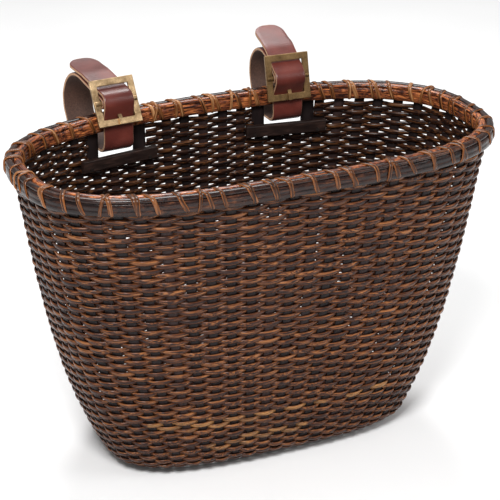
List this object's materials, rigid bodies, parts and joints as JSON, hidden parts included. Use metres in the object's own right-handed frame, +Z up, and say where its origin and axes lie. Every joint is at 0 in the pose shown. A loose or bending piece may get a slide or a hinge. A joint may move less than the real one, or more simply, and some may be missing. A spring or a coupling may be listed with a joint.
{
  "type": "handlebar basket",
  "caption": "Dark brown woven rattan handlebar basket with a lashed cane rim and two brown leather straps with square antique brass buckles.",
  "frame": {"origin": "centre of the base's underside, midway between the basket's ends", "axes": "+X along the handlebar, +Y back towards the bicycle, +Z up"},
  "size_m": [0.3751, 0.2586, 0.2826],
  "materials": {
    "dark_rattan": "satin",
    "rim_cane": "satin",
    "lashing_cane": "satin",
    "charcoal_stake": "satin",
    "dark_wood": "satin",
    "strap_leather": "satin",
    "antique_brass": "satin",
    "steel_brad": "dull"
  },
  "bodies": {
    "basket": {"side_weave_front": "dark_rattan", "side_weave_back": "dark_rattan", "side_weave_left_front": "dark_rattan", "side_weave_left_back": "dark_rattan", "side_weave_right_front": "dark_rattan", "side_weave_right_back": "dark_rattan", "base_weave": "dark_rattan", "stakes": "charcoal_stake", "rim_outer_hoop": "rim_cane", "rim_inner_hoop": "rim_cane", "rim_top_cane_outer": "rim_cane", "rim_top_cane_inner": "rim_cane", "rim_lashing": "lashing_cane", "left_slot_bar": "dark_wood", "left_slot_bar_brads": "steel_brad", "left_slot_post_left": "charcoal_stake", "left_slot_post_right": "charcoal_stake", "right_slot_bar": "dark_wood", "right_slot_bar_brads": "steel_brad", "right_slot_post_left": "charcoal_stake", "right_slot_post_right": "charcoal_stake"},
    "left_strap_loop": {"left_strap": "strap_leather", "left_strap_rivet": "antique_brass"},
    "left_strap_end": {"left_strap_tip": "strap_leather"},
    "left_buckle": {"left_buckle_frame": "antique_brass", "left_buckle_bar": "antique_brass"},
    "left_prong": {"left_buckle_prong": "antique_brass"},
    "right_strap_loop": {"right_strap": "strap_leather", "right_strap_rivet": "antique_brass"},
    "right_strap_end": {"right_strap_tip": "strap_leather"},
    "right_buckle": {"right_buckle_frame": "antique_brass", "right_buckle_bar": "antique_brass"},
    "right_prong": {"right_buckle_prong": "antique_brass"}
  },
  "joints": [
    {"name": "left_strap_swing", "type": "hinge", "parent": "basket", "child": "left_strap_loop", "pos_m": [-0.0755, 0.07017, 0.237], "axis": [0.9969, 0.0785, 0], "range_deg": [-3, 3]},
    {"name": "left_strap_end_flex", "type": "hinge", "parent": "left_strap_loop", "child": "left_strap_end", "pos_m": [-0.07606, 0.07728, 0.263], "axis": [0.9969, 0.0785, 0], "range_deg": [0, 25], "stiffness_Nm_per_rad": 0.06},
    {"name": "left_buckle_tilt", "type": "hinge", "parent": "left_strap_loop", "child": "left_buckle", "pos_m": [-0.07498, 0.06362, 0.2534], "axis": [0.9969, 0.0785, 0], "range_deg": [-4, 0]},
    {"name": "left_prong_pivot", "type": "hinge", "parent": "left_buckle", "child": "left_prong", "pos_m": [-0.07498, 0.06362, 0.2534], "axis": [0.9969, 0.0785, 0], "range_deg": [-5, 0]},
    {"name": "right_strap_swing", "type": "hinge", "parent": "basket", "child": "right_strap_loop", "pos_m": [0.0695, 0.07102, 0.237], "axis": [0.9986, -0.0523, 0], "range_deg": [-3, 3]},
    {"name": "right_strap_end_flex", "type": "hinge", "parent": "right_strap_loop", "child": "right_strap_end", "pos_m": [0.06943, 0.0697, 0.2676], "axis": [0.9986, -0.0523, 0], "range_deg": [0, 25], "stiffness_Nm_per_rad": 0.06},
    {"name": "right_buckle_tilt", "type": "hinge", "parent": "right_strap_loop", "child": "right_buckle", "pos_m": [0.06898, 0.06101, 0.254], "axis": [0.9986, -0.0523, 0], "range_deg": [-3, 0]},
    {"name": "right_prong_pivot", "type": "hinge", "parent": "right_buckle", "child": "right_prong", "pos_m": [0.06898, 0.06101, 0.254], "axis": [0.9986, -0.0523, 0], "range_deg": [-5, 0]}
  ]
}
